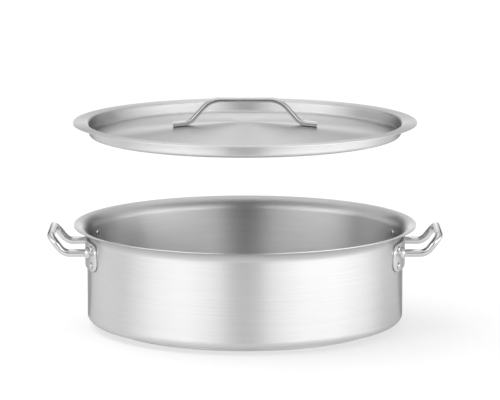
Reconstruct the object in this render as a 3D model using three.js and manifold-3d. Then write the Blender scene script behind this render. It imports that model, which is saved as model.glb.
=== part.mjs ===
// Wide, low cooking pot in stainless steel, with its lid held above the rim.
// Millimetres, +Z up, origin on the floor under the middle of the base, handles along X.

import * as THREE from 'three';
import { mergeVertices } from 'three/addons/utils/BufferGeometryUtils.js';
import Module from 'manifold-3d';

const wasm = await Module();
wasm.setup();

// Pot shell
const potBore = 400; // inside diameter
const potHeight = 130; // floor to the edge of the rim
const sheet = 0.8; // steel sheet of the shell, the lid and the base cap
const shellCorner = 10; // outside bend at the foot of the wall
const flareReach = 17.2; // how far the pouring rim stands out from the wall
const flareLean = THREE.MathUtils.degToRad(84); // lean of the rim's lip from upright
const flareBend = 15; // wide curve between the wall and the lip

// Heat-spreading base
const baseHeight = 6.5; // floor to the underside of the shell
const baseDiameter = 352;
const baseCorner = 3; // rolled lower edge of the base cap

// Handle plates
const plateWidth = 154;
const plateHeight = 36;
const plateThickness = 2.5;
const plateCorner = 13;
const plateDrop = 33; // edge of the rim down to the middle of the plate
const collarFoot = 7.6; // radius of a weld collar on the plate
const collarTop = 6.3; // radius of a weld collar at its upper edge
const collarHeight = 3;

// Handle bars
const barDiameter = 9.5;
const barSpacing = 93; // between the two legs of one handle
const barOffset = 3; // middle of the plate up to the axis of the legs
const barRun = 27.6; // wall to the upward bend
const barLean = 17; // outward travel of the raised grip
const barRise = 21; // upward travel of the raised grip
const barBend = 16; // bend between a leg and the rise
const barTurn = 13; // bend at the two corners of the grip

// Rivets
const rivetInset = 14; // end of the plate to the nearer column
const rivetPitch = 21; // between the two rows of one plate
const rivetShank = 5;
const rivetHead = 9;
const rivetLip = 0.5; // straight edge of a head
const outerHeadRise = 1.6; // domed head on the plate
const innerHeadRise = 1.1; // flatter head inside the pot

// Lid
const lidLift = 130; // how far the lid is held above its seat
const lidRecess = 16.5; // top of the flange down to the foot of the upstand
const lidRise = 16; // foot of the upstand up to the middle of the panel
const lidSkirtGap = 1.2; // upstand to the pot wall when the lid is on
const lidSkirtDraft = 0.8; // how much narrower the upstand is at its foot
const lidOverhang = 0.3; // flange edge past the edge of the rim
const lidCorner = 4.5; // bend between the panel and the upstand
const lidFlangeBend = 4; // bend between the upstand and the flange
const crownReach = 30; // half the run over which the middle of the panel is rounded
const crownFlat = 4; // radius of the flat spot in the middle of the panel

// Lid handle
const strapWidth = 19;
const strapThickness = 4.8;
const strapEdge = 1.7; // rounding of the long edges
const handleSpan = 182; // end to end of the two feet
const footReach = 21; // length of a foot to the middle of its bend
const gripHalf = 44; // middle of the grip to the middle of its bend
const gripTop = 30.2; // top of the flange to the top of the grip
const footBend = 20;
const gripBend = 30;

// Fits and smoothness
const fitGap = 0.3; // between pieces that sit on or in one another
const bondGap = 0.2; // layer between the shell, the core and the cap
const roundSteps = 64; // facets around the pot and the lid
const rivetSteps = 12; // facets around a rivet, a hole and a collar
const arcStep = THREE.MathUtils.degToRad(22.5); // longest turn of one facet in a bend
const domeSteps = 3; // rings in the dome of a rivet head
const barSteps = 44; // rings along a handle bar
const barSides = 6; // half the sides of a handle bar
const edgeSteps = 2; // rings in the rounded edge of the strap

// Derived sizes
const half = sheet / 2;
const boreRadius = potBore / 2;
const wallRadius = boreRadius + sheet;
const wallMid = boreRadius + half;
const rimRadius = wallMid + flareReach + half * Math.cos(flareLean);
const plateLevel = potHeight - plateDrop;
const barLevel = plateLevel + barOffset;
const plateInner = wallRadius + fitGap;
const plateOuter = plateInner + plateThickness;
const facetSag = boreRadius * (1 - Math.cos(Math.PI / roundSteps));

// A chain of straight runs whose inner corners [x, y, radius] are rounded.
function roundedPath(corners) {
  const points = [];
  const add = (x, y) => {
    const last = points.at(-1);
    if (!last || Math.hypot(x - last.x, y - last.y) > 1e-4) points.push(new THREE.Vector2(x, y));
  };
  corners.forEach(([x, y, radius], i) => {
    if (!radius) {
      add(x, y);
      return;
    }
    const corner = new THREE.Vector2(x, y);
    const back = new THREE.Vector2(...corners[i - 1].slice(0, 2)).sub(corner).normalize();
    const ahead = new THREE.Vector2(...corners[i + 1].slice(0, 2)).sub(corner).normalize();
    const halfAngle = Math.acos(THREE.MathUtils.clamp(back.dot(ahead), -1, 1)) / 2;
    const centre = back.clone().add(ahead).setLength(radius / Math.sin(halfAngle)).add(corner);
    const reach = radius / Math.tan(halfAngle);
    const start = back.multiplyScalar(reach).add(corner).sub(centre).angle();
    const end = ahead.multiplyScalar(reach).add(corner).sub(centre).angle();
    const turn = THREE.MathUtils.euclideanModulo(end - start + Math.PI, 2 * Math.PI) - Math.PI;
    const steps = Math.max(3, Math.ceil(Math.abs(turn) / arcStep));
    for (let k = 0; k <= steps; k++) {
      const angle = start + (turn * k) / steps;
      add(centre.x + radius * Math.cos(angle), centre.y + radius * Math.sin(angle));
    }
  });
  return points;
}

// Outline of a sheet of even thickness that follows a path: one side out, the other side back.
function sheetOutline(path, thickness) {
  const sides = [[], []];
  path.forEach((point, i) => {
    const before = point.clone().sub(path[Math.max(i - 1, 0)]);
    const after = path[Math.min(i + 1, path.length - 1)].clone().sub(point);
    const way = before.clone().normalize().add(after.clone().normalize()).normalize();
    const run = after.lengthSq() > 0 ? after.normalize() : before.normalize();
    const offset = thickness / 2 / way.dot(run);
    const normal = new THREE.Vector2(-way.y, way.x).multiplyScalar(offset);
    sides[0].push(point.clone().sub(normal));
    sides[1].push(point.clone().add(normal));
  });
  return [...sides[0], ...sides[1].reverse()];
}

// Turns an outline (radius, height) about Z.
function turned(outline, steps) {
  return new THREE.LatheGeometry(outline, steps).rotateX(Math.PI / 2);
}

// Straight-sided round solid about Z.
function drum(radius, low, high, steps) {
  const corners = [[0, low], [radius, low], [radius, high], [0, high]];
  return turned(corners.map(([x, y]) => new THREE.Vector2(x, y)), steps);
}

// A geometry as a solid for joining and cutting.
function solid(geometry) {
  const bare = geometry.clone();
  bare.deleteAttribute('normal');
  bare.deleteAttribute('uv');
  const merged = mergeVertices(bare);
  const corners = [];
  for (let i = 0; i < merged.index.count; i += 3) {
    const [a, b, c] = [0, 1, 2].map((k) => merged.index.getX(i + k));
    if (a !== b && b !== c && c !== a) corners.push(a, b, c);
  }
  return new wasm.Manifold(new wasm.Mesh({
    numProp: 3,
    vertProperties: new Float32Array(merged.attributes.position.array),
    triVerts: new Uint32Array(corners),
  }));
}

// The faces of a solid as a geometry.
function faces(body) {
  const mesh = body.getMesh();
  const geometry = new THREE.BufferGeometry();
  geometry.setAttribute('position', new THREE.BufferAttribute(mesh.vertProperties, 3));
  geometry.setIndex(new THREE.BufferAttribute(mesh.triVerts, 1));
  const flat = geometry.toNonIndexed();
  flat.computeVertexNormals();
  return flat;
}

// Points a piece made about Z out along the pot's radius at the given bearing and height.
function radially(geometry, bearing, height) {
  return geometry.rotateY(Math.PI / 2).rotateZ(bearing).translate(0, 0, height);
}

// Places of the rivets of the handle on the +X side, as bearing and height.
const rivetBearing = Math.asin((plateWidth / 2 - rivetInset) / plateOuter);
const rivetPlaces = [
  ['front_upper', -rivetBearing, plateLevel + rivetPitch / 2],
  ['front_lower', -rivetBearing, plateLevel - rivetPitch / 2],
  ['rear_upper', rivetBearing, plateLevel + rivetPitch / 2],
  ['rear_lower', rivetBearing, plateLevel - rivetPitch / 2],
];

// Holes for those rivets, long enough to pass through the plate and the wall.
function rivetHoles() {
  const radius = rivetShank / 2 + fitGap;
  return rivetPlaces.map(([, bearing, height]) => {
    const drill = drum(radius, boreRadius - rivetHead, plateOuter + rivetHead, rivetSteps);
    return solid(radially(drill, bearing, height));
  });
}

// Drawn pot shell: flat floor, rounded foot, upright wall and a rim that curves out to a pouring lip.
function potShell() {
  const rimEnd = potHeight - half * Math.sin(flareLean);
  const path = roundedPath([
    [0, baseHeight + half],
    [wallMid, baseHeight + half, shellCorner - half],
    [wallMid, rimEnd - flareReach / Math.tan(flareLean), flareBend],
    [wallMid + flareReach, rimEnd],
  ]);
  let body = solid(turned(sheetOutline(path, sheet), roundSteps));
  for (const hole of rivetHoles()) {
    body = body.subtract(hole).subtract(hole.rotate([0, 0, 180]));
  }
  return faces(body);
}

// Aluminium disc that spreads the heat, chamfered to clear the bend of its cap.
function baseCore() {
  const radius = baseDiameter / 2 - sheet - fitGap;
  const low = sheet + bondGap;
  const high = baseHeight - bondGap;
  const corners = [[0, low], [radius - baseCorner, low], [radius, low + baseCorner], [radius, high], [0, high]];
  return turned(corners.map(([x, y]) => new THREE.Vector2(x, y)), roundSteps);
}

// Steel cap pressed around the core: the face that the pot stands on.
function baseCap() {
  const radius = baseDiameter / 2 - half;
  const path = roundedPath([
    [0, half],
    [radius, half, baseCorner - half],
    [radius, baseHeight - fitGap],
  ]);
  return turned(sheetOutline(path, sheet), roundSteps);
}

// Bearing of the inner side of a leg on the plate decides how deep its flat end can sit.
const legInner = (barSpacing - barDiameter) / 2;
const socketFloor = Math.sqrt(plateOuter ** 2 - legInner ** 2);

// Plate that wraps the wall, with a weld collar around each leg and four rivet holes.
function handlePlate() {
  const outline = new THREE.Shape();
  const x = plateWidth / 2 - plateCorner;
  const y = plateHeight / 2 - plateCorner;
  outline.absarc(x, y, plateCorner, 0, Math.PI / 2);
  outline.absarc(-x, y, plateCorner, Math.PI / 2, Math.PI);
  outline.absarc(-x, -y, plateCorner, Math.PI, Math.PI * 1.5);
  outline.absarc(x, -y, plateCorner, Math.PI * 1.5, Math.PI * 2);
  const block = new THREE.ExtrudeGeometry(outline, {
    depth: plateOuter + plateThickness,
    bevelEnabled: false,
    curveSegments: 3,
  });
  const acrossUpOut = new THREE.Matrix4().makeBasis(
    new THREE.Vector3(0, 1, 0), new THREE.Vector3(0, 0, 1), new THREE.Vector3(1, 0, 0),
  );
  block.applyMatrix4(acrossUpOut).translate(0, 0, plateLevel);
  let body = solid(drum(plateOuter, 0, potHeight, roundSteps)).intersect(solid(block));
  for (const side of [-1, 1]) {
    const collar = [
      [0, socketFloor - plateHeight],
      [collarFoot, socketFloor - plateHeight],
      [collarFoot, socketFloor - plateThickness / 2],
      [collarTop, socketFloor + collarHeight],
      [0, socketFloor + collarHeight],
    ];
    const socket = drum(barDiameter / 2 + fitGap, socketFloor, socketFloor + plateHeight, rivetSteps);
    const place = (geometry) => radially(geometry, 0, barLevel).translate(0, (side * barSpacing) / 2, 0);
    const blank = turned(collar.map(([r, h]) => new THREE.Vector2(r, h)), rivetSteps);
    body = body.add(solid(place(blank))).subtract(solid(place(socket)));
  }
  body = body.subtract(solid(drum(plateInner, 0, potHeight, roundSteps)));
  for (const hole of rivetHoles()) body = body.subtract(hole);
  return faces(body);
}

// Round bar bent into a raised loop: out from the plate, up and out, across and back.
function handleBar() {
  const start = socketFloor + fitGap;
  const bend = wallRadius + barRun;
  const side = barSpacing / 2;
  const corners = [
    [start, -side, barLevel, 0],
    [bend, -side, barLevel, barBend],
    [bend + barLean, -side, barLevel + barRise, barTurn],
    [bend + barLean, side, barLevel + barRise, barTurn],
    [bend, side, barLevel, barBend],
    [start, side, barLevel, 0],
  ];
  const places = corners.map(([x, y, z]) => new THREE.Vector3(x, y, z));
  const path = new THREE.CurvePath();
  let last = places[0];
  for (let i = 1; i < places.length - 1; i++) {
    const back = places[i - 1].clone().sub(places[i]).normalize();
    const ahead = places[i + 1].clone().sub(places[i]).normalize();
    const reach = corners[i][3] / Math.tan(back.angleTo(ahead) / 2);
    const into = places[i].clone().addScaledVector(back, reach);
    const out = places[i].clone().addScaledVector(ahead, reach);
    path.add(new THREE.LineCurve3(last, into));
    path.add(new THREE.QuadraticBezierCurve3(into, places[i], out));
    last = out;
  }
  path.add(new THREE.LineCurve3(last, places.at(-1)));
  const section = new THREE.Shape().absarc(0, 0, barDiameter / 2, 0, Math.PI * 2);
  return new THREE.ExtrudeGeometry(section, { steps: barSteps, extrudePath: path, curveSegments: barSides });
}

// Rivet through the plate and the wall, headed on both sides, made about Z.
function rivet() {
  const inside = boreRadius - facetSag - fitGap;
  const outside = plateOuter + fitGap;
  const dome = (base, rise) => {
    const ring = [];
    for (let k = 0; k < domeSteps; k++) {
      const angle = (k / domeSteps) * (Math.PI / 2);
      ring.push([(rivetHead / 2) * Math.cos(angle), base + rise * Math.sin(angle)]);
    }
    return ring;
  };
  const outline = [
    [0, inside - innerHeadRise],
    ...dome(inside - rivetLip, rivetLip - innerHeadRise).reverse(),
    [rivetHead / 2, inside],
    [rivetShank / 2, inside],
    [rivetShank / 2, outside],
    [rivetHead / 2, outside],
    ...dome(outside + rivetLip, outerHeadRise - rivetLip),
    [0, outside + outerHeadRise],
  ];
  return turned(outline.map(([x, y]) => new THREE.Vector2(x, y)), rivetSteps);
}

// Lid heights are counted from the underside of the flange.
const panelFoot = sheet - lidRecess;
const panelTop = panelFoot + lidRise;
const skirtMid = boreRadius - lidSkirtGap - half;
const panelSlope = Math.atan2(lidRise, skirtMid - lidSkirtDraft - crownReach);

// Pressed lid: rising panel, upstand that drops into the pot, flat flange that rests on the rim.
function lidPan() {
  const path = roundedPath([
    [0, panelTop - half],
    [crownReach, panelTop - half, (crownReach - crownFlat) / Math.tan(panelSlope / 2)],
    [skirtMid - lidSkirtDraft, panelFoot - half, lidCorner],
    [skirtMid, half, lidFlangeBend],
    [rimRadius + lidOverhang, half],
  ]);
  return turned(sheetOutline(path, sheet), roundSteps);
}

// Strap handle: two feet that lie on the slope of the panel and a raised straight grip.
function lidHandle() {
  const lift = fitGap + strapThickness / 2 / Math.cos(panelSlope);
  const onPanel = (radius) => panelTop - (radius - crownReach) * Math.tan(panelSlope) + lift;
  const end = handleSpan / 2;
  const knee = end - footReach;
  const grip = sheet + gripTop - strapThickness / 2;
  const path = roundedPath([
    [-end, onPanel(end)],
    [-knee, onPanel(knee), footBend],
    [-gripHalf, grip, gripBend],
    [gripHalf, grip, gripBend],
    [knee, onPanel(knee), footBend],
    [end, onPanel(end)],
  ]);
  const strap = new THREE.ExtrudeGeometry(new THREE.Shape(sheetOutline(path, strapThickness)), {
    depth: strapWidth - 2 * strapEdge,
    bevelEnabled: true,
    bevelThickness: strapEdge,
    bevelSize: strapEdge,
    bevelOffset: -strapEdge,
    bevelSegments: edgeSteps,
  });
  return strap.translate(0, 0, strapEdge - strapWidth / 2).rotateX(Math.PI / 2);
}

function piece(parent, name, geometry, color, roughness) {
  const material = new THREE.MeshStandardMaterial({ color, roughness, metalness: 1 });
  const mesh = new THREE.Mesh(geometry, material);
  mesh.name = name;
  parent.add(mesh);
}

const satin = '#cfcfcd';
const polished = '#dcdcdb';
const pot = new THREE.Group();
piece(pot, 'pot_shell', potShell(), satin, 0.32);
piece(pot, 'base_core', baseCore(), '#c3c4c6', 0.45);
piece(pot, 'base_cap', baseCap(), satin, 0.38);

for (const [side, turn] of [['right', 0], ['left', Math.PI]]) {
  const handle = new THREE.Group();
  handle.rotation.z = turn;
  pot.add(handle);
  piece(handle, `${side}_handle_plate`, handlePlate(), polished, 0.25);
  piece(handle, `${side}_handle_bar`, handleBar(), polished, 0.14);
  for (const [place, bearing, height] of rivetPlaces) {
    piece(handle, `${side}_rivet_${place}`, radially(rivet(), bearing, height), polished, 0.2);
  }
}

const lid = new THREE.Group();
lid.position.z = potHeight + fitGap + lidLift;
pot.add(lid);
piece(lid, 'lid_pan', lidPan(), satin, 0.34);
piece(lid, 'lid_handle', lidHandle(), polished, 0.2);

export default pot;
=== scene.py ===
"""Looks of a wide, low stainless steel cooking pot whose lid is held above the rim.

Lengths are metres in the frame of the packed model: +Z up, floor at zero, handles along X.
"""

import math

import bmesh
import bpy
from mathutils import Matrix, Vector


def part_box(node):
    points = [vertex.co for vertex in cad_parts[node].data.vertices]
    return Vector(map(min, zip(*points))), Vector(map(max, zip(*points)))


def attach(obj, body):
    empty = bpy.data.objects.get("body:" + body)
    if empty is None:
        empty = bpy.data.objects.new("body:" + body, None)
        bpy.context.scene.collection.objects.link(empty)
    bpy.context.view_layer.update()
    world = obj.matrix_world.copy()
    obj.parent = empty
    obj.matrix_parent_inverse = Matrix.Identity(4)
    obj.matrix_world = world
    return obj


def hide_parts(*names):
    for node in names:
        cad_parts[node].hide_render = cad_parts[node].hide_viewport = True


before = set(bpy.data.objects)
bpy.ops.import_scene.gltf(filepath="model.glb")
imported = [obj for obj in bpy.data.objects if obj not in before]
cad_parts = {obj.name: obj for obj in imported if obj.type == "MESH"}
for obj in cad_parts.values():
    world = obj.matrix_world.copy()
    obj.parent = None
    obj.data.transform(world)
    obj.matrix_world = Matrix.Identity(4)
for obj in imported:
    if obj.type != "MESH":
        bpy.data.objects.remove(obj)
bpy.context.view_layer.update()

bl_info = {
    "name": "Cooking pot",
    "version": (1, 0, 0),
    "blender": (4, 5, 0),
    "location": "3D View > Sidebar > Pot",
    "description": "Builds a wide, low steel cooking pot with its lid held above the rim",
    "category": "Object",
}

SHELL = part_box("pot_shell")
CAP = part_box("base_cap")
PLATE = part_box("right_handle_plate")
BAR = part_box("right_handle_bar")
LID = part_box("lid_pan")
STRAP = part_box("lid_handle")

# Each side's name, and its turn about the pot's axis from the right side
SIDES = (("right", 0.0), ("left", math.pi))

# Each rivet's name, its end of the plate and its row
RIVETS = (("front_upper", -1, 1), ("front_lower", -1, -1), ("rear_upper", 1, 1), ("rear_lower", 1, -1))

# A rivet head from its middle to its rim: shares of its radius and of its rise,
# and how far the rounding reaches
RIVET_DOME = ((0.0, 1.0, 0.0), (0.62, 0.9, 0.000496), (0.93, 0.52, 0.000558), (1.0, 0.0, 0.0))

# Greys of the light tent's wall, near the floor and higher up, at bearings in degrees.
# Bearing 0 is towards the camera, and bearings grow to the right.
TENT_LOW = (
    # Behind the pot, on the left
    (-180, 0.4), (-172, 0.22), (-166, 0.02), (-156, 0.02),
    # Left
    (-147, 0.24), (-135, 0.29), (-118, 0.25), (-105, 0.15), (-95, 0.1), (-68, 0.5), (-42, 0.62),
    # Dark gap around the camera
    (-25, 0.33), (-15, 0.2), (-11, 0.0), (11, 0.0), (15, 0.2), (25, 0.31),
    # Right
    (42, 0.75), (68, 0.94), (95, 0.74), (118, 0.2), (135, 0.16), (147, 0.15),
    # Behind the pot, on the right
    (156, 0.02), (166, 0.02), (172, 0.22), (180, 0.4),
)
TENT_HIGH = (
    # Behind the pot and left
    (-180, 0.26), (-172, 0.22), (-162, 0.02), (-140, 0.05), (-100, 0.21), (-60, 0.58),
    # Dark gap above the camera
    (-25, 0.64), (0, 0.05), (25, 0.7),
    # Right and behind the pot
    (60, 0.4), (100, 0.1), (140, 0.05), (162, 0.02), (172, 0.22), (180, 0.26),
)

# Greys of the tent's roof, at metres behind the pot's axis
TENT_ROOF = ((-6, 0.16), (-1.2, 0.16), (0, 0.25), (0.8, 0.25), (2.2, 0.22), (6, 0.14))

# Degrees of bearing around the tent
FULL_TURN = 360

# Cloths on the floor lie this far above it
CLOTH_LEVEL = 0.001

# Added to a radius that is divided by, so that the brushing stays even at the axis
AXIS_GUARD = 0.002

# Points nearer than this become one
MERGE_GAP = 1e-6
CUT_GAP = 1e-7

# Edges that turn by more than this stay crisp
SHEET_CREASE = math.radians(50)
SOLID_CREASE = math.radians(40)

# Width of the camera's picture, in millimetres
SENSOR_WIDTH = 36.0


# Sizes and colours


def length(name, description, default):
    return bpy.props.FloatProperty(
        name=name, description=description, default=default, subtype="DISTANCE", unit="LENGTH", precision=5
    )


def angle(name, description, degrees):
    return bpy.props.FloatProperty(
        name=name, description=description, default=math.radians(degrees), subtype="ANGLE"
    )


def share(name, description, default):
    return bpy.props.FloatProperty(
        name=name, description=description, default=default, min=0.0, max=1.0, subtype="FACTOR"
    )


def amount(name, description, default):
    return bpy.props.FloatProperty(name=name, description=description, default=default, min=0.0)


def count(name, description, default):
    return bpy.props.IntProperty(name=name, description=description, default=default, min=1)


def colour(name, description, default):
    return bpy.props.FloatVectorProperty(
        name=name, description=description, default=default, min=0.0, max=1.0, size=3, subtype="COLOR"
    )


class PotSizes(bpy.types.PropertyGroup):
    """The drawn shell and the layered base"""

    bore: length("Bore radius", "Axis to the inside of the wall", 0.2)
    sheet: length("Sheet", "Thickness of the shell, the lid and the base cap", 0.0008)
    rim: length("Rim radius", "Axis to the edge of the pouring rim", SHELL[1].x)
    height: length("Height", "Floor to the edge of the rim", SHELL[1].z)
    underside: length("Underside", "Floor to the underside of the shell", SHELL[0].z)
    corner: length("Corner", "Outside bend at the foot of the wall", 0.01)
    flare_bend: length("Rim curve", "Outside curve between the wall and the lip", 0.0146)
    flare_lean: angle("Lip lean", "Lean of the lip from upright", 84)
    # Within this band the lip is worn smoother and is also painted a darker grey, a painted shade.
    wear_start: length("Wear start", "Edge of the lip to where its wear starts", 0.0012)
    wear_full: length("Full wear", "Edge of the lip to where it is fully worn", 0.0002)
    base: length("Base radius", "Axis to the side of the base cap", CAP[1].x)
    base_top: length("Base top", "Floor to the upper edge of the base cap", CAP[1].z)
    base_corner: length("Base corner", "Rolled lower edge of the base cap", 0.003)
    steps: count("Steps", "Facets around the pot and the lid", 288)
    bend_steps: count("Bend steps", "Facets in each bend of the shell", 18)
    base_steps: count("Base steps", "Facets in the rolled edge of the base cap", 8)


class HandleSizes(bpy.types.PropertyGroup):
    """The riveted side handles"""

    plate_outer: length("Plate radius", "Axis to the outside of a plate", 0.2036)
    plate_thickness: length("Plate thickness", "Sheet of a plate", 0.0025)
    plate_width: length("Plate width", "End to end of a plate, seen straight on", PLATE[1].y - PLATE[0].y)
    plate_low: length("Plate foot", "Floor to the lower edge of a plate", PLATE[0].z)
    plate_high: length("Plate head", "Floor to the upper edge of a plate", PLATE[1].z)
    plate_corner: length("Plate corner", "Rounding of the corners of a plate", 0.013)
    plate_edge: length("Plate edge", "Rounding of the rim of a plate", 0.0009)
    plate_strips: count("Plate strips", "Upright strips that wrap a plate on the wall", 56)
    plate_corner_steps: count("Plate corner steps", "Facets in a corner of a plate", 10)
    plate_edge_steps: count("Plate edge steps", "Facets in the rounded rim of a plate", 4)
    collar_foot: length("Collar foot", "Radius of a weld collar on the plate", 0.0076)
    collar_top: length("Collar top", "Radius of a weld collar around the bar", 0.0059)
    collar_height: length("Collar height", "Rise of a weld collar above the plate", 0.003)
    collar_sink: length("Collar sink", "How far a weld collar runs into the plate", 0.0006)
    collar_tuck: length("Collar tuck", "How far a weld collar runs into the bar", 0.0002)
    collar_brim: length("Collar brim", "How far the collar's outer edge lies below the plate's crown", 0.0004)
    collar_brim_round: length("Brim rounding", "Reach of the rounding of the collar's brim", 0.0003)
    collar_swell: length("Collar swell", "How much wider than its top the collar's hollow is", 0.0006)
    collar_hollow: length("Collar hollow", "Height of the collar's hollow above the plate", 0.0014)
    collar_hollow_round: length("Hollow rounding", "Reach of the rounding of the collar's hollow", 0.0022)
    collar_shoulder: length("Collar shoulder", "Collar's top down to its shoulder", 0.0008)
    collar_shoulder_round: length("Shoulder rounding", "Reach of the shoulder's rounding", 0.0007)
    collar_steps: count("Collar steps", "Facets around a weld collar", 48)
    collar_bend_steps: count("Collar bend steps", "Facets in each rounding of a weld collar", 6)
    bar_radius: length("Bar radius", "Half the thickness of a handle bar", 0.00475)
    bar_spacing: length("Leg spacing", "Between the two legs of one handle", 0.093)
    bar_bend: length("Leg bend", "Bend between a leg and the raised grip", 0.016)
    bar_turn: length("Grip bend", "Bend at the corners of the grip", 0.013)
    bar_run: length("Leg reach", "Axis of the pot to the corner of a leg", 0.2284)
    bar_steps: count("Bar steps", "Facets around a handle bar", 40)
    bar_bend_steps: count("Bar bend steps", "Facets along each bend of a handle bar", 14)
    rivet_span: length("Rivet columns", "Between the two columns of rivets", 0.126)
    rivet_pitch: length("Rivet rows", "Between the two rows of rivets", 0.021)
    rivet_head: length("Rivet head", "Radius of a rivet head", 0.0045)
    rivet_shank: length("Rivet shank", "Radius of a rivet shank", 0.0025)
    rivet_rise: length("Outer head", "Rise of the head on the plate", 0.0016)
    rivet_inner_rise: length("Inner head", "Rise of the head inside the pot", 0.0011)
    rivet_steps: count("Rivet steps", "Facets around a rivet", 40)
    rivet_bend_steps: count("Rivet bend steps", "Facets in each rounding of a rivet head", 4)
    seat: length("Seat gap", "Gap between pieces that sit on one another", 0.0003)


class LidSizes(bpy.types.PropertyGroup):
    """The pressed lid and its strap handle"""

    flange: length("Flange radius", "Axis to the edge of the flange", LID[1].x)
    flange_top: length("Flange level", "Floor to the top of the flange", LID[1].z)
    recess: length("Recess", "Top of the flange down to the foot of the upstand", 0.0165)
    rise: length("Rise", "Foot of the upstand up to the middle of the panel", 0.016)
    skirt: length("Upstand radius", "Axis to the outside of the upstand at its top", 0.1988)
    draft: length("Upstand draft", "How much narrower the upstand is at its foot", 0.0008)
    corner: length("Panel bend", "Bend between the panel and the upstand", 0.0049)
    flange_bend: length("Flange bend", "Bend between the upstand and the flange", 0.0036)
    crown: length("Crown", "Axis to the middle of the rounding at the panel's peak", 0.03)
    crown_flat: length("Crown flat", "Axis to where that rounding starts", 0.004)
    bend_steps: count("Bend steps", "Facets in each bend of the lid", 10)
    strap_width: length("Strap width", "Width of the handle strap", STRAP[1].y - STRAP[0].y)
    strap_thickness: length("Strap thickness", "Thickness of the handle strap", 0.0048)
    strap_edge: length("Strap edge", "Rounding of the strap's long edges", 0.0014)
    strap_top: length("Grip level", "Floor to the top of the grip", STRAP[1].z)
    strap_span: length("Strap span", "End to end of the two feet", 0.182)
    foot: length("Foot", "Length of a foot to the middle of its bend", 0.021)
    grip: length("Grip", "Middle of the grip to the middle of its bend", 0.044)
    foot_bend: length("Foot bend", "Bend between a foot and the rise", 0.02)
    grip_bend: length("Grip bend", "Bend between the rise and the grip", 0.03)
    strap_edge_steps: count("Strap edge steps", "Facets in each rounded edge of the strap", 5)
    strap_bend_steps: count("Strap bend steps", "Facets along each bend of the strap", 14)
    seat: length("Seat gap", "Gap between the feet and the panel", 0.0003)


class SteelLooks(bpy.types.PropertyGroup):
    """Finishes of the steel and the core"""

    satin: colour("Satin steel", "Brushed wall, base and lid", (0.69, 0.69, 0.69))
    satin_deep: colour("Satin steel, deep", "Darker lines of the brushing", (0.63, 0.63, 0.633))
    satin_roughness: share("Satin roughness", "Spread of the brushed steel's reflections on the pot", 0.31)
    lid_roughness: share("Lid roughness", "Spread of the brushed steel's reflections on the lid", 0.33)
    brushing: share("Brushing", "How much more the reflections spread across the grain", 0.96)
    grain_turn: share("Grain turn", "Share of a full turn that lays the grain around the pot", 0.25)
    edge_tint: share("Edge darkening", "Brightness of steel that is seen almost edge on", 0.7)
    smudging: share("Smudging", "How much of the deeper tone the smudges show", 0.16)
    # Lip steel and Lip shade are painted shade: the grey darkens the underside of the rim's curve and also
    # the worn edge of the lip.
    lip: colour("Lip steel", "Worn edge and underside of the pouring rim", (0.48, 0.48, 0.48))
    lip_shade: share("Lip shade", "How much of the lip's steel shows on the underside of the rim", 0.6)
    lip_polish: share("Lip polish", "How much less the worn edge spreads its reflections", 0.12)
    polished: colour("Polished steel", "Bars and rivets", (0.65, 0.65, 0.65))
    polished_roughness: share("Polish roughness", "Spread of the polished steel's reflections", 0.08)
    buffed: colour("Buffed steel", "Handle plates", (0.67, 0.67, 0.67))
    buffed_roughness: share("Buffed roughness", "Spread of the buffed steel's reflections", 0.26)
    strap: colour("Strap steel", "Handle of the lid", (0.6, 0.6, 0.6))
    strap_roughness: share("Strap roughness", "Spread of the strap's reflections", 0.18)
    dulling: share("Dulling", "Brightness of handled patches against clean steel", 0.85)
    handling: share("Handling", "How much the dull patches cover the clean steel", 0.5)
    core: colour("Core", "Aluminium of the heat-spreading core", (0.6, 0.605, 0.61))
    core_deep: colour("Core, deep", "Turning marks of the core", (0.47, 0.475, 0.48))
    core_roughness: share("Core roughness", "Least spread of the core's reflections", 0.4)


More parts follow.
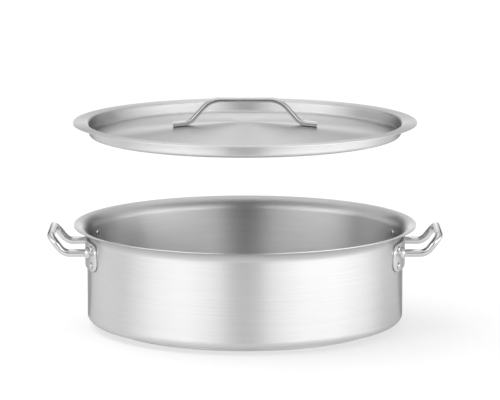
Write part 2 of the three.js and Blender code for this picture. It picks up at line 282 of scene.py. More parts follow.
class StageLooks(bpy.types.PropertyGroup):
    """Floor, light and camera"""

    floor: colour("Floor", "Pale studio floor", (0.36, 0.36, 0.36))
    floor_roughness: share("Floor roughness", "Spread of the floor's reflections", 0.9)
    floor_glow: share("Floor glow", "Light that comes up through the floor", 0.62)
    floor_reach: length("Floor reach", "Middle of the floor to its sides", 14.0)
    floor_drop: length("Floor drop", "How far the floor lies below the pot", 0.0003)
    tent_radius: length("Tent radius", "Pot axis to the walls of the light tent", 6.0)
    tent_height: length("Tent height", "Floor to the roof of the light tent", 3.0)
    tent_steps: count("Tent steps", "Facets around the light tent", 96)
    tent_light: amount("Tent light", "Brightness of a white cloth of the tent", 5.0)
    low_top: share("Low greys", "Share of the tent's height below which only its low greys show", 0.25)
    high_foot: share("High greys", "Share of the tent's height above which only its high greys show", 0.5)
    roof_foot: share("Roof greys", "Share of the tent's height above which the roof's greys start", 0.97)
    roof_strip: length("Roof strip", "Half the width of the bright strip along the roof", 0.5)
    roof_fade: length("Roof fade", "Middle of the roof to where its bright strip has faded out", 2.0)
    roof_side: share("Roof side", "Brightness of the roof beside its strip", 0.135)
    apron: length("Apron", "Pot axis to the dark apron on the floor before the camera", 1.5)
    apron_turn: angle("Apron turn", "Half the angle that the apron takes up", 14)
    flag_reach: length("Flag reach", "Length of the two grey flags on the floor behind the pot", 3.0)
    flag_near: angle("Flag near side", "Straight back to the near side of a flag", 15)
    flag_far: angle("Flag far side", "Straight back to the far side of a flag", 33)
    flag_tone: share("Flag tone", "Brightness of the flags", 0.11)
    sky: share("Sky", "Even light on the floor from all around", 0.5)
    sun: amount("Sun", "Strength of the soft light that casts the shadow", 2.35)
    sun_spread: angle("Sun spread", "How wide the soft light looks from the floor", 60)
    sun_right: share("Sun to the right", "How far the light runs to the right as it falls by one", 0.26)
    sun_forward: share("Sun forward", "How far the light runs towards the camera as it falls by one", 0.1)
    camera_distance: length("Camera distance", "Along the floor, pot axis to camera", 4.5)
    camera_height: length("Camera height", "Floor to camera", 0.909)
    camera_aside: length("Camera offset", "Camera to the right of the pot axis", 0.00635)
    camera_dip: angle("Camera dip", "How far the camera looks down", 9.44922)
    camera_sight: length("Camera sight", "Camera to the farthest thing that it sees", 100.0)
    lens: bpy.props.FloatProperty(
        name="Lens", description="Focal length in millimetres", default=258.3, unit="CAMERA"
    )


# Shader maths


class Value:
    """A socket that Python's own operators extend with Math nodes."""

    def __init__(self, shading, socket):
        self.shading = shading
        self.socket = socket

    def _math(self, operation, first, second):
        return self.shading.node("ShaderNodeMath", {"operation": operation}, {0: first, 1: second})

    def __add__(self, other):
        return self._math("ADD", self, other)

    def __sub__(self, other):
        return self._math("SUBTRACT", self, other)

    def __rsub__(self, other):
        return self._math("SUBTRACT", other, self)

    def __mul__(self, other):
        return self._math("MULTIPLY", self, other)

    def __truediv__(self, other):
        return self._math("DIVIDE", self, other)

    def __pow__(self, other):
        return self._math("POWER", self, other)

    __radd__ = __add__
    __rmul__ = __mul__

    def other(self, name):
        """Another output of the same node."""
        return Value(self.shading, self.socket.node.outputs[name])


class Shading:
    """A node tree that is written as expressions."""

    def __init__(self, tree):
        self.tree = tree

    def node(self, kind, settings=None, sockets=None, output=0):
        """Adds a node, sets it up, fills its sockets and returns one of its outputs."""
        made = self.tree.nodes.new(kind)
        settings = dict(settings or {})
        for i, (position, tone) in enumerate(settings.pop("stops", [])):
            stops = made.color_ramp.elements
            stop = stops[i] if i < len(stops) else stops.new(position)
            stop.position = position
            stop.color = tone
        for name, value in settings.items():
            setattr(made, name, value)
        for name, value in (sockets or {}).items():
            self.fill(made.inputs[name], value)
        return Value(self, made.outputs[output])

    def fill(self, socket, value):
        """Links a value to a socket, or sets the socket to a plain number or colour."""
        if isinstance(value, Value):
            self.tree.links.new(value.socket, socket)
        else:
            socket.default_value = value

    def mix(self, factor, first, second):
        """Blends two colours. The Mix node's colours are its sockets 6 and 7, and its output 2."""
        sockets = {0: factor, 6: first, 7: second}
        return self.node("ShaderNodeMix", {"data_type": "RGBA"}, sockets, 2)

    def step(self, value, low, high):
        """Rises smoothly from 0 at low to 1 at high."""
        sockets = {"Value": value, "From Min": low, "From Max": high}
        return self.node("ShaderNodeMapRange", {"interpolation_type": "SMOOTHSTEP"}, sockets)

    def noise(self, vector, scale=1.0, detail=2.0, falloff=0.5):
        sockets = {"Vector": vector, "Scale": scale, "Detail": detail, "Roughness": falloff}
        return self.node("ShaderNodeTexNoise", None, sockets)

    def vector(self, x, y, z):
        return self.node("ShaderNodeCombineXYZ", None, {"X": x, "Y": y, "Z": z})

    def place(self):
        """The point on the piece, whole and as its three coordinates."""
        whole = self.node("ShaderNodeTexCoord", None, None, "Object")
        x = self.node("ShaderNodeSeparateXYZ", None, {"Vector": whole})
        return whole, x, x.other("Y"), x.other("Z")

    def bump(self, height, strength, distance):
        sockets = {"Height": height, "Strength": strength, "Distance": distance}
        return self.node("ShaderNodeBump", None, sockets)


def rgba(tone):
    return (*tone, 1.0)


def grey(tone):
    return (tone, tone, tone, 1.0)


# Finishes


def new_material(name, metallic):
    """A new material: its node tree, its shader and the material itself."""
    material = bpy.data.materials.new(name)
    material.use_nodes = True
    shader = material.node_tree.nodes["Principled BSDF"]
    shader.inputs["Metallic"].default_value = metallic
    return Shading(material.node_tree), shader, material


def coat(tree, shader, tone, rough, relief):
    """Links what changes over the surface to the shader."""
    tree.fill(shader.inputs["Base Color"], tone)
    tree.fill(shader.inputs["Roughness"], rough)
    tree.fill(shader.inputs["Normal"], relief)


def satin_steel(name, roughness, rim=None):
    """Steel brushed in rings around the pot's axis.

    With the pot's sizes given as rim, the pouring rim is shaded too: painted shade darkens the underside of
    its curve, and its worn edge is made smoother and painted a darker grey.
    """
    looks = bpy.context.scene.pot_steel
    tree, shader, material = new_material(name, 1.0)
    place, x, y, z = tree.place()
    radius = (x * x + y * y) ** 0.5
    off_axis = radius + AXIS_GUARD
    east = x / off_axis
    north = y / off_axis

    def rings(along, across, detail, falloff):
        stretched = tree.vector(east * along, north * along, (z + radius) * across)
        return tree.noise(stretched, detail=detail, falloff=falloff)

    fine = rings(along=2.2, across=1400, detail=3.0, falloff=0.62)
    broad = rings(along=1.2, across=160, detail=2.0, falloff=0.5)
    smudge = tree.noise(place, scale=11.0, detail=4.0, falloff=0.55)
    lines = tree.step(fine * 0.8 + broad * 0.2, low=0.3, high=0.68)
    tone = tree.mix(lines, rgba(looks.satin_deep), rgba(looks.satin))
    smudged = tree.step(smudge, low=0.5, high=0.8) * looks.smudging
    tone = tree.mix(smudged, tone, rgba(looks.satin_deep))
    smoothest = roughness - 0.06
    rough = smoothest + fine * 0.08 + broad * 0.03 + smudge * 0.05
    if rim:
        worn, underside_shade = rim_masks(tree, radius, z, rim)
        # Painted shade: the lip grey darkens the underside of the rim's curve.
        tone = tree.mix(underside_shade * looks.lip_shade, tone, rgba(looks.lip))
        # The worn edge is smoother from real wear, and the lip grey paints it darker, a painted shade that
        # dims its highlight.
        tone = tree.mix(worn, tone, rgba(looks.lip))
        rough = rough - worn * looks.lip_polish
    coat(tree, shader, tone, rough, tree.bump(fine, strength=0.05, distance=0.0002))
    shader.inputs["Specular Tint"].default_value = grey(looks.edge_tint)
    shader.inputs["Anisotropic"].default_value = looks.brushing
    shader.inputs["Anisotropic Rotation"].default_value = looks.grain_turn
    return material


def rim_levels(pot):
    """Heights of the lip's lower edge, and of the corner where the wall and the lip would meet unrounded."""
    edge = pot.height - pot.sheet * math.sin(pot.flare_lean)
    corner = edge - (pot.rim - pot.bore - pot.sheet) / math.tan(pot.flare_lean)
    return edge, corner


def rim_masks(tree, radius, z, pot):
    """Where the edge of the pouring rim is worn, and where its curve faces down and takes painted shade."""
    worn = tree.step(radius, low=pot.rim - pot.wear_start, high=pot.rim - pot.wear_full)
    curve_foot = rim_levels(pot)[1] - pot.flare_bend * math.tan(pot.flare_lean / 2)
    across = radius - (pot.bore + pot.sheet + pot.flare_bend)
    up = z - curve_foot
    apart = (across * across + up * up) ** 0.5
    outer_side = pot.flare_bend + 0.3 * pot.sheet
    inner_side = pot.flare_bend + 0.7 * pot.sheet
    inside = tree.step(apart, low=outer_side, high=inner_side)
    # The curve's underside, away from the inner side of the sheet: where the painted shade goes.
    tilt = tree.step(up / pot.flare_bend, low=0.02, high=0.5)
    return worn, tilt * (1 - inside)


def polished_steel(name, grain, clean, roughness):
    """Smooth steel with faint scratches along the given axis and dull patches from handling."""
    looks = bpy.context.scene.pot_steel
    tree, shader, material = new_material(name, 1.0)
    place, x, y, z = tree.place()
    along, across = 60.0, 1500.0
    scales = [along if axis == grain else across for axis in "XYZ"]
    stretched = tree.vector(x * scales[0], y * scales[1], z * scales[2])
    scratches = tree.noise(stretched, detail=2.0, falloff=0.6)
    smudge = tree.noise(place, scale=42.0, detail=4.0, falloff=0.6)
    dull = [tone * looks.dulling for tone in clean]
    handled = tree.step(smudge, low=0.42, high=0.78) * looks.handling
    tone = tree.mix(handled, rgba(clean), rgba(dull))
    smoothest = roughness - 0.05
    rough = smoothest + scratches * 0.05 + smudge * 0.08
    relief = tree.bump(scratches * 0.6 + smudge * 0.4, strength=0.06, distance=0.0003)
    coat(tree, shader, tone, rough, relief)
    shader.inputs["Specular Tint"].default_value = grey(looks.edge_tint)
    return material


def turned_aluminium(name):
    """Bare aluminium with the rings of its turning."""
    looks = bpy.context.scene.pot_steel
    tree, shader, material = new_material(name, 1.0)
    place, x, y, z = tree.place()
    radius = (x * x + y * y) ** 0.5
    along, across = 3.0, 2200
    rings = tree.noise(tree.vector(x * along, y * along, (radius + z) * across))
    patch = tree.noise(place, scale=18.0, detail=3.0)
    marks = tree.step(rings * 0.6 + patch * 0.4, low=0.35, high=0.65)
    tone = tree.mix(marks, rgba(looks.core_deep), rgba(looks.core))
    rough = looks.core_roughness + rings * 0.14
    coat(tree, shader, tone, rough, tree.bump(rings, strength=0.15, distance=0.0002))
    return material


# Mesh building


def sheet_section(corners, thickness):
    """Closed outline of a sheet from its outer corners (radius, height, bend).

    The inner side lies to the left of the way that the corners run. Returns (radius, height, reach)
    for each corner, where reach is how far its rounding runs along the straights.
    """
    points = [Vector(corner[:2]) for corner in corners]
    ways = [(end - start).normalized() for start, end in zip(points, points[1:])]
    outer, inner = [], []
    for i, (point, corner) in enumerate(zip(points, corners)):
        before = ways[max(i - 1, 0)]
        after = ways[min(i, len(ways) - 1)]
        turn = -before.angle_signed(after) if before != after else 0.0
        middle = (before + after).normalized()
        shift = Vector((-middle.y, middle.x)) * thickness / math.cos(turn / 2)
        bend = corner[2]
        inner_bend = bend - math.copysign(thickness, turn) if bend else 0.0
        half_tangent = math.tan(abs(turn) / 2)
        outer.append((*point, bend * half_tangent))
        inner.append((*(point + shift), inner_bend * half_tangent))
    return outer + inner[::-1]


def round_over(bm, geom, reach, segments, affect):
    """Rounds the given VERTICES of an outline or EDGES of a solid."""
    bmesh.ops.bevel(
        bm,
        geom=geom,
        offset=reach,
        offset_type="OFFSET",
        affect=affect,
        segments=segments,
        profile=0.5,
        material=-1,
    )


def outline_mesh(corners, segments, closed=False):
    """Edges through (radius, height, reach) in the XZ plane, with each corner rounded over its reach."""
    bm = bmesh.new()
    verts = [bm.verts.new((corner[0], 0.0, corner[1])) for corner in corners]
    for first, second in zip(verts, verts[1:]):
        bm.edges.new((first, second))
    if closed:
        bm.edges.new((verts[-1], verts[0]))
    for vert, corner in zip(verts, corners):
        reach = corner[2]
        if reach > 0:
            round_over(bm, [vert], reach, segments, "VERTICES")
    return bm


def close_skin(bm):
    """Merges doubled points and turns the faces outwards."""
    bmesh.ops.remove_doubles(bm, verts=bm.verts[:], dist=MERGE_GAP)
    bmesh.ops.recalc_face_normals(bm, faces=bm.faces[:])


def turn_about_z(bm, steps):
    """Spins the outline a full turn into a closed skin."""
    bmesh.ops.spin(
        bm,
        geom=bm.verts[:] + bm.edges[:],
        cent=(0, 0, 0),
        axis=(0, 0, 1),
        angle=math.tau,
        steps=steps,
        use_merge=True,
        use_duplicate=False,
    )
    close_skin(bm)


def of_kind(geom, kind):
    return [part for part in geom if isinstance(part, kind)]


def draw_along(bm, ring, corners, steps):
    """Draws a ring of edges along straights and bends (x, y, z, bend) and closes both ends."""
    points = [Vector(corner[:3]) for corner in corners]
    here = points[0]
    for i in range(1, len(points)):
        way = (points[i] - points[i - 1]).normalized()
        last = i == len(points) - 1
        ahead = way if last else (points[i + 1] - points[i]).normalized()
        turn = 0.0 if last else way.angle(ahead)
        bend = corners[i][3]
        reach = bend * math.tan(turn / 2)
        stop = points[i] - way * reach
        made = bmesh.ops.extrude_edge_only(bm, edges=ring)["geom"]
        verts = of_kind(made, bmesh.types.BMVert)
        bmesh.ops.translate(bm, verts=verts, vec=stop - here)
        ends = set(verts)
        ring = [edge for edge in of_kind(made, bmesh.types.BMEdge) if ends.issuperset(edge.verts)]
        here = stop
        if not last:
            axis = way.cross(ahead).normalized()
            centre = here + axis.cross(way) * bend
            made = bmesh.ops.spin(
                bm,
                geom=ring + verts,
                cent=centre,
                axis=axis,
                angle=turn,
                steps=steps,
                use_duplicate=False,
            )["geom_last"]
            ring = of_kind(made, bmesh.types.BMEdge)
            here = points[i] + ahead * reach
    bmesh.ops.holes_fill(bm, edges=bm.edges[:], sides=0)
    close_skin(bm)


def turn_to_side(bm, turn):
    """Turns a piece that was made on the right to its own side."""
    bmesh.ops.rotate(bm, verts=bm.verts[:], cent=(0, 0, 0), matrix=Matrix.Rotation(turn, 3, "Z"))


def mesh_object(name, bm, material):
    """Makes the bmesh an object with one material."""
    mesh = bpy.data.meshes.new(name)
    bm.to_mesh(mesh)
    bm.free()
    mesh.materials.append(material)
    made = bpy.data.objects.new(name, mesh)
    bpy.context.scene.collection.objects.link(made)
    return made


def finish_piece(name, bm, material, body, nodes, crease):
    """Makes the bmesh an object that stands for its CAD nodes and rides on their body."""
    piece = mesh_object(name, bm, material)
    piece.data.shade_smooth()
    piece.data.set_sharp_from_angle(angle=crease)
    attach(piece, body)
    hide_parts(*nodes)


# Pieces


class POT_OT_shell(bpy.types.Operator):
    """Draw the pot shell: flat floor, rounded foot, upright wall and a rim that curves out to a lip"""

    bl_idname = "cooking_pot.shell"
    bl_label = "Pot shell"

    def execute(self, context):
        pot = context.scene.pot_sizes
        wall = pot.bore + pot.sheet
        edge, bend_level = rim_levels(pot)
        corners = [
            (0, pot.underside, 0),
            (wall, pot.underside, pot.corner),
            (wall, bend_level, pot.flare_bend),
            (pot.rim, edge, 0),
        ]
        bm = outline_mesh(sheet_section(corners, pot.sheet), pot.bend_steps)
        turn_about_z(bm, pot.steps)
        material = satin_steel("satin_steel_shell", context.scene.pot_steel.satin_roughness, pot)
        finish_piece("steel_shell", bm, material, "pot", ["pot_shell"], SHEET_CREASE)
        return {"FINISHED"}


class POT_OT_base(bpy.types.Operator):
    """Press the base cap and finish the core that it holds"""

    bl_idname = "cooking_pot.base"
    bl_label = "Base"

    def execute(self, context):
        pot = context.scene.pot_sizes
        corners = [(0, 0, 0), (pot.base, 0, pot.base_corner), (pot.base, pot.base_top, 0)]
        bm = outline_mesh(sheet_section(corners, pot.sheet), pot.base_steps)
        turn_about_z(bm, pot.steps)
        material = satin_steel("satin_steel_base", context.scene.pot_steel.satin_roughness)
        finish_piece("steel_base_cap", bm, material, "pot", ["base_cap"], SHEET_CREASE)
        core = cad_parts["base_core"]
        core.data.materials.clear()
        core.data.materials.append(turned_aluminium("turned_aluminium"))
        return {"FINISHED"}


class POT_OT_plates(bpy.types.Operator):
    """Wrap the handle plates on the wall and raise their weld collars"""

    bl_idname = "cooking_pot.plates"
    bl_label = "Handle plates"

    def execute(self, context):
        handle = context.scene.pot_handles
        looks = context.scene.pot_steel
        material = polished_steel("buffed_steel_plates", "Y", looks.buffed, looks.buffed_roughness)
        for side, turn in SIDES:
            bm = self.flat_plate(handle)
            self.wrap(bm, handle)
            for end in (-1, 1):
                self.collar(bm, handle, end * handle.bar_spacing / 2)
            turn_to_side(bm, turn)
            node = f"{side}_handle_plate"
            finish_piece(f"{side}_plate", bm, material, "pot", [node], SHEET_CREASE)
        return {"FINISHED"}

    def flat_plate(self, handle):
        """A flat sheet with rounded corners, cut into upright strips, that faces away from the pot."""
        bm = bmesh.new()
        half = handle.plate_width / 2
        low, high = handle.plate_low, handle.plate_high
        outline = ((-half, low), (half, low), (half, high), (-half, high))
        verts = [bm.verts.new((0, y, z)) for y, z in outline]
        bm.faces.new(verts)
        round_over(bm, verts, handle.plate_corner, handle.plate_corner_steps, "VERTICES")
        for cut in range(1, handle.plate_strips):
            bmesh.ops.bisect_plane(
                bm,
                geom=bm.verts[:] + bm.edges[:] + bm.faces[:],
                plane_co=(0, half * (2 * cut / handle.plate_strips - 1), 0),
                plane_no=(0, 1, 0),
                dist=CUT_GAP,
            )
        bmesh.ops.recalc_face_normals(bm, faces=bm.faces[:])
        if bm.faces[:][0].normal.x < 0:
            bmesh.ops.reverse_faces(bm, faces=bm.faces[:])
        return bm

    def wrap(self, bm, handle):
        """Gives the sheet its thickness, bends it around the pot and rounds its outer rim."""
        made = bmesh.ops.extrude_face_region(bm, geom=bm.faces[:])["geom"]
        front = set(of_kind(made, bmesh.types.BMVert))
        for vert in bm.verts:
            radius = handle.plate_outer - (0 if vert in front else handle.plate_thickness)
            vert.co.x = math.sqrt(radius**2 - vert.co.y**2)
        bmesh.ops.recalc_face_normals(bm, faces=bm.faces[:])
        outer_edges = [edge for edge in bm.edges if front.issuperset(edge.verts)]
        rim = [edge for edge in outer_edges if edge.calc_face_angle(0) > SHEET_CREASE]
        round_over(bm, rim, handle.plate_edge, handle.plate_edge_steps, "EDGES")

    def collar(self, bm, handle, y):
        """Adds the weld collar of the leg that leaves the plate at y."""
        near = abs(y) - handle.bar_radius
        far = abs(y) + handle.collar_foot
        crown = math.sqrt(handle.plate_outer**2 - near**2)
        foot = math.sqrt(handle.plate_outer**2 - far**2) - handle.collar_sink
        top = crown + handle.collar_height
        hole = handle.bar_radius - handle.collar_tuck
        hollow = handle.collar_top + handle.collar_swell
        corners = [
            (hole, foot, 0),
            (handle.collar_foot, foot, 0),
            (handle.collar_foot, crown - handle.collar_brim, handle.collar_brim_round),
            (hollow, crown + handle.collar_hollow, handle.collar_hollow_round),
            (handle.collar_top, top - handle.collar_shoulder, handle.collar_shoulder_round),
            (hole, top, 0),
        ]
        ring = outline_mesh(corners, handle.collar_bend_steps, closed=True)
        turn_about_z(ring, handle.collar_steps)
        level = BAR[0].z + handle.bar_radius
        place = Matrix.Translation((0, y, level)) @ Matrix.Rotation(math.pi / 2, 4, "Y")
        bmesh.ops.transform(ring, matrix=place, verts=ring.verts[:])
        joined = bpy.data.meshes.new("collar")
        ring.to_mesh(joined)
        ring.free()
        bm.from_mesh(joined)
        bpy.data.meshes.remove(joined)


class POT_OT_bars(bpy.types.Operator):
    """Bend the round handle bars into raised loops"""

    bl_idname = "cooking_pot.bars"
    bl_label = "Handle bars"

    def execute(self, context):
        handle = context.scene.pot_handles
        looks = context.scene.pot_steel
        material = polished_steel("polished_steel_bars", "Y", looks.polished, looks.polished_roughness)
        aside = handle.bar_spacing / 2
        low, high = BAR[0].z + handle.bar_radius, BAR[1].z - handle.bar_radius
        start, tip = BAR[0].x, BAR[1].x - handle.bar_radius
        corners = [
            (start, -aside, low, 0),
            (handle.bar_run, -aside, low, handle.bar_bend),
            (tip, -aside, high, handle.bar_turn),
            (tip, aside, high, handle.bar_turn),
            (handle.bar_run, aside, low, handle.bar_bend),
            (start, aside, low, 0),
        ]
        place = Matrix.Translation(corners[0][:3]) @ Matrix.Rotation(math.pi / 2, 4, "Y")
        for side, turn in SIDES:
            bm = bmesh.new()
            bmesh.ops.create_circle(
                bm, cap_ends=False, radius=handle.bar_radius, segments=handle.bar_steps, matrix=place
            )
            draw_along(bm, bm.edges[:], corners, handle.bar_bend_steps)
            turn_to_side(bm, turn)
            node = f"{side}_handle_bar"
            finish_piece(f"{side}_bar", bm, material, "pot", [node], SHEET_CREASE)
        return {"FINISHED"}


class POT_OT_rivets(bpy.types.Operator):
    """Set the rivets through the plates and the wall"""

    bl_idname = "cooking_pot.rivets"
    bl_label = "Rivets"

    def execute(self, context):
        handle = context.scene.pot_handles
        looks = context.scene.pot_steel
        material = polished_steel("polished_steel_rivets", "Z", looks.polished, looks.polished_roughness)
        section = self.section(context.scene.pot_sizes, handle)
        bearing = math.asin(handle.rivet_span / 2 / handle.plate_outer)
        middle = (handle.plate_low + handle.plate_high) / 2
        for side, side_turn in SIDES:
            for place, end, row in RIVETS:
                bm = outline_mesh(section, handle.rivet_bend_steps)
                turn_about_z(bm, handle.rivet_steps)
                lift = Matrix.Translation((0, 0, middle + row * handle.rivet_pitch / 2))
                turn = Matrix.Rotation(end * bearing + side_turn, 4, "Z")
                matrix = lift @ turn @ Matrix.Rotation(math.pi / 2, 4, "Y")
                bmesh.ops.transform(bm, matrix=matrix, verts=bm.verts[:])
                node = f"{side}_rivet_{place}"
                finish_piece(f"{node}_head", bm, material, "pot", [node], SOLID_CREASE)
        return {"FINISHED"}

    def section(self, pot, handle):
        """Outline of a rivet from the middle of its inner head to the middle of its outer head."""
        inside = pot.bore - handle.seat
        outside = handle.plate_outer + handle.seat
        head, shank = handle.rivet_head, handle.rivet_shank
        inner_rise, rise = handle.rivet_inner_rise, handle.rivet_rise
        inner_head = [(head * out, inside - inner_rise * up, reach) for out, up, reach in RIVET_DOME]
        outer_head = [(head * out, outside + rise * up, reach) for out, up, reach in reversed(RIVET_DOME)]
        return [*inner_head, (shank, inside, 0), (shank, outside, 0), *outer_head]


class POT_OT_lid_pan(bpy.types.Operator):
    """Press the lid: rising panel, upstand and flat flange"""

    bl_idname = "cooking_pot.lid_pan"
    bl_label = "Lid"

    def execute(self, context):
        sheet = context.scene.pot_sizes.sheet
        lid = context.scene.pot_lid
        low = lid.flange_top - lid.recess - sheet
        flange = lid.flange_top - sheet
        foot = lid.skirt - lid.draft
        slope = math.atan2(lid.rise, foot - lid.crown)
        crown_bend = (lid.crown - lid.crown_flat) / math.tan(slope / 2)
        corners = [
            (0, low + lid.rise, 0),
            (lid.crown, low + lid.rise, crown_bend),
            (foot, low, lid.corner),
            (lid.skirt, flange, lid.flange_bend),
            (lid.flange, flange, 0),
        ]
        bm = outline_mesh(sheet_section(corners, sheet), lid.bend_steps)
        turn_about_z(bm, context.scene.pot_sizes.steps)
        material = satin_steel("satin_steel_lid", context.scene.pot_steel.lid_roughness)
        finish_piece("steel_lid", bm, material, "lid", ["lid_pan"], SHEET_CREASE)
        return {"FINISHED"}


class POT_OT_lid_handle(bpy.types.Operator):
    """Bend the strap handle of the lid"""

    bl_idname = "cooking_pot.lid_handle"
    bl_label = "Lid handle"

    def execute(self, context):
        lid = context.scene.pot_lid
        looks = context.scene.pot_steel
        half = lid.strap_thickness / 2
        slope = math.atan2(lid.rise, lid.skirt - lid.draft - lid.crown)
        panel = lid.flange_top - lid.recess + lid.rise + lid.seat + half / math.cos(slope)
        end = lid.strap_span / 2
        knee = end - lid.foot
        end_level = panel - (end - lid.crown) * math.tan(slope)
        knee_level = panel - (knee - lid.crown) * math.tan(slope)
        grip_level = lid.strap_top - half
        corners = [
            (-end, 0, end_level, 0),
            (-knee, 0, knee_level, lid.foot_bend),
            (-lid.grip, 0, grip_level, lid.grip_bend),
            (lid.grip, 0, grip_level, lid.grip_bend),
            (knee, 0, knee_level, lid.foot_bend),
            (end, 0, end_level, 0),
        ]
        side = lid.strap_width / 2
        outline = ((-side, -half), (side, -half), (side, half), (-side, half))
        section = [(across, up, lid.strap_edge) for across, up in outline]
        bm = outline_mesh(section, lid.strap_edge_steps, closed=True)
        upright = Matrix.Rotation(math.pi / 2, 4, "Z")
        lean = Matrix.Rotation(-slope, 4, "Y")
        matrix = Matrix.Translation(corners[0][:3]) @ lean @ upright
        bmesh.ops.transform(bm, matrix=matrix, verts=bm.verts[:])
        draw_along(bm, bm.edges[:], corners, lid.strap_bend_steps)
        material = polished_steel("polished_steel_strap", "X", looks.strap, looks.strap_roughness)
        finish_piece("lid_strap", bm, material, "lid", ["lid_handle"], SOLID_CREASE)
        return {"FINISHED"}


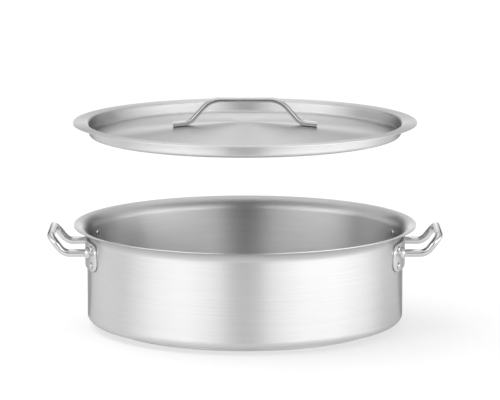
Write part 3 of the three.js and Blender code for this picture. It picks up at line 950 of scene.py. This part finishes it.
class POT_OT_stage(bpy.types.Operator):
    """Lay the floor, set the lights and place the camera"""

    bl_idname = "cooking_pot.stage"
    bl_label = "Stage"

    def execute(self, context):
        scene = context.scene
        scene.view_settings.view_transform = "Standard"
        self.floor(scene)
        self.world(scene)
        self.tent(scene)
        self.sun(scene)
        self.camera(scene)
        return {"FINISHED"}

    def floor(self, scene):
        looks = scene.pot_stage
        bm = bmesh.new()
        bmesh.ops.create_grid(bm, x_segments=1, y_segments=1, size=looks.floor_reach)
        shader, material = new_material("pale_floor", 0.0)[1:]
        shader.inputs["Base Color"].default_value = rgba(looks.floor)
        shader.inputs["Roughness"].default_value = looks.floor_roughness
        shader.inputs["Specular IOR Level"].default_value = 0.0
        shader.inputs["Emission Color"].default_value = grey(1.0)
        shader.inputs["Emission Strength"].default_value = looks.floor_glow
        floor = mesh_object("floor", bm, material)
        floor.location.z = -looks.floor_drop

    def world(self, scene):
        """White for the camera and for reflections, and an even, dimmer light on the floor."""
        world = bpy.data.worlds.new("studio")
        world.use_nodes = True
        scene.world = world
        tree = Shading(world.node_tree)
        path = tree.node("ShaderNodeLightPath", None, None, "Is Camera Ray")
        seen = path
        for ray in ("Is Glossy Ray", "Is Transmission Ray"):
            seen = tree.node("ShaderNodeMath", {"operation": "MAXIMUM"}, {0: seen, 1: path.other(ray)})
        background = world.node_tree.nodes["Background"]
        background.inputs["Color"].default_value = grey(1.0)
        sky = scene.pot_stage.sky
        tree.fill(background.inputs["Strength"], sky + seen * (1 - sky))

    def tent(self, scene):
        """Hangs a round tent of grey cloth that only reflections see."""
        material = self.tent_cloth(scene.pot_stage)
        tent = mesh_object("light_tent", self.tent_shape(scene), material)
        tent.visible_camera = False
        tent.visible_diffuse = False
        tent.visible_shadow = False

    def tent_shape(self, scene):
        """Wall and roof, an apron on the floor before the camera and two flags behind the pot."""
        looks = scene.pot_stage
        bm = bmesh.new()
        bmesh.ops.create_cone(
            bm,
            cap_ends=True,
            segments=looks.tent_steps,
            radius1=looks.tent_radius,
            radius2=looks.tent_radius,
            depth=looks.tent_height,
            matrix=Matrix.Translation((0, 0, looks.tent_height / 2)),
        )
        ground = [face for face in bm.faces if face.calc_center_median().z < CLOTH_LEVEL]
        bmesh.ops.delete(bm, geom=ground, context="FACES_ONLY")
        near, far = looks.apron, looks.tent_radius
        apron = []
        for reach, side in ((near, -1), (far, -1), (far, 1), (near, 1)):
            turn = side * looks.apron_turn
            apron.append((reach * math.sin(turn), -reach * math.cos(turn)))
        self.lay_cloth(bm, apron)
        bore, reach = scene.pot_sizes.bore, looks.flag_reach
        for side in (-1, 1):
            flag = [(side * bore, 0.0)]
            for turn in (looks.flag_far, looks.flag_near):
                flag.append((side * (bore + reach * math.sin(turn)), reach * math.cos(turn)))
            self.lay_cloth(bm, flag)
        return bm

    def lay_cloth(self, bm, corners):
        """Lays a flat cloth on the floor."""
        bm.faces.new([bm.verts.new((x, y, CLOTH_LEVEL)) for x, y in corners])

    def tent_cloth(self, looks):
        """Glowing cloth with its own greys on the wall, on the roof and on the floor."""
        tree, shader, material = new_material("light_tent", 0.0)
        x, y, z = tree.place()[1:]
        height, width = looks.tent_height, 2 * looks.tent_radius
        bearing = tree.node("ShaderNodeMath", {"operation": "ARCTAN2"}, {0: x, 1: y * -1.0})
        around = bearing / math.tau + 0.5
        low = self.ramp(tree, around, TENT_LOW, FULL_TURN)
        high = self.ramp(tree, around, TENT_HIGH, FULL_TURN)
        wall = tree.mix(tree.step(z, height * looks.low_top, height * looks.high_foot), low, high)
        roof = self.ramp(tree, y / width + 0.5, TENT_ROOF, width)
        beside = tree.step(x * x, looks.roof_strip**2, looks.roof_fade**2)
        roof = tree.mix(beside, roof, grey(looks.roof_side))
        tone = tree.mix(tree.step(z, height * looks.roof_foot, height), wall, roof)
        ground = tree.step(y, -looks.apron, 0.0) * looks.flag_tone
        tone = tree.mix(tree.step(z, 2 * CLOTH_LEVEL, 10 * CLOTH_LEVEL), ground, tone)
        shader.inputs["Base Color"].default_value = grey(0.0)
        shader.inputs["Specular IOR Level"].default_value = 0.0
        tree.fill(shader.inputs["Emission Color"], tone)
        shader.inputs["Emission Strength"].default_value = looks.tent_light
        return material

    def ramp(self, tree, factor, tones, span):
        """Greys along a way that is span long, with its middle at zero."""
        stops = [(place / span + 0.5, grey(tone)) for place, tone in tones]
        return tree.node("ShaderNodeValToRGB", {"stops": stops}, {"Fac": factor})

    def sun(self, scene):
        looks = scene.pot_stage
        light = bpy.data.lights.new("soft_sun", "SUN")
        light.energy = looks.sun
        light.angle = looks.sun_spread
        lamp = bpy.data.objects.new("soft_sun", light)
        fall = Vector((looks.sun_right, -looks.sun_forward, -1.0))
        lamp.rotation_euler = fall.to_track_quat("-Z", "Y").to_euler()
        lamp.visible_glossy = False
        scene.collection.objects.link(lamp)

    def camera(self, scene):
        looks = scene.pot_stage
        data = bpy.data.cameras.new("camera")
        data.sensor_width = SENSOR_WIDTH
        data.lens = looks.lens
        data.clip_end = looks.camera_sight
        camera = bpy.data.objects.new("camera", data)
        camera.location = (looks.camera_aside, -looks.camera_distance, looks.camera_height)
        camera.rotation_euler = (math.pi / 2 - looks.camera_dip, 0, 0)
        scene.collection.objects.link(camera)
        scene.camera = camera


class POT_PT_panel(bpy.types.Panel):
    """Sizes, finishes and pieces of the pot"""

    bl_idname = "POT_PT_panel"
    bl_label = "Cooking pot"
    bl_space_type = "VIEW_3D"
    bl_region_type = "UI"
    bl_category = "Pot"

    def draw(self, context):
        for group, kind in GROUPS.items():
            box = self.layout.box()
            box.label(text=kind.__doc__)
            values = getattr(context.scene, group)
            for name in kind.__annotations__:
                box.prop(values, name)
        for operator in OPERATORS:
            self.layout.operator(operator.bl_idname)


GROUPS = {
    "pot_sizes": PotSizes,
    "pot_handles": HandleSizes,
    "pot_lid": LidSizes,
    "pot_steel": SteelLooks,
    "pot_stage": StageLooks,
}
OPERATORS = (
    POT_OT_shell,
    POT_OT_base,
    POT_OT_plates,
    POT_OT_bars,
    POT_OT_rivets,
    POT_OT_lid_pan,
    POT_OT_lid_handle,
    POT_OT_stage,
)
CLASSES = (*GROUPS.values(), *OPERATORS, POT_PT_panel)


def register():
    for cls in CLASSES:
        bpy.utils.register_class(cls)
    for name, group in GROUPS.items():
        setattr(bpy.types.Scene, name, bpy.props.PointerProperty(type=group))


def unregister():
    for name in GROUPS:
        delattr(bpy.types.Scene, name)
    for cls in reversed(CLASSES):
        bpy.utils.unregister_class(cls)


def main():
    register()
    for operator in OPERATORS:
        category, name = operator.bl_idname.split(".")
        getattr(getattr(bpy.ops, category), name)()


if __name__ == "__main__":
    main()
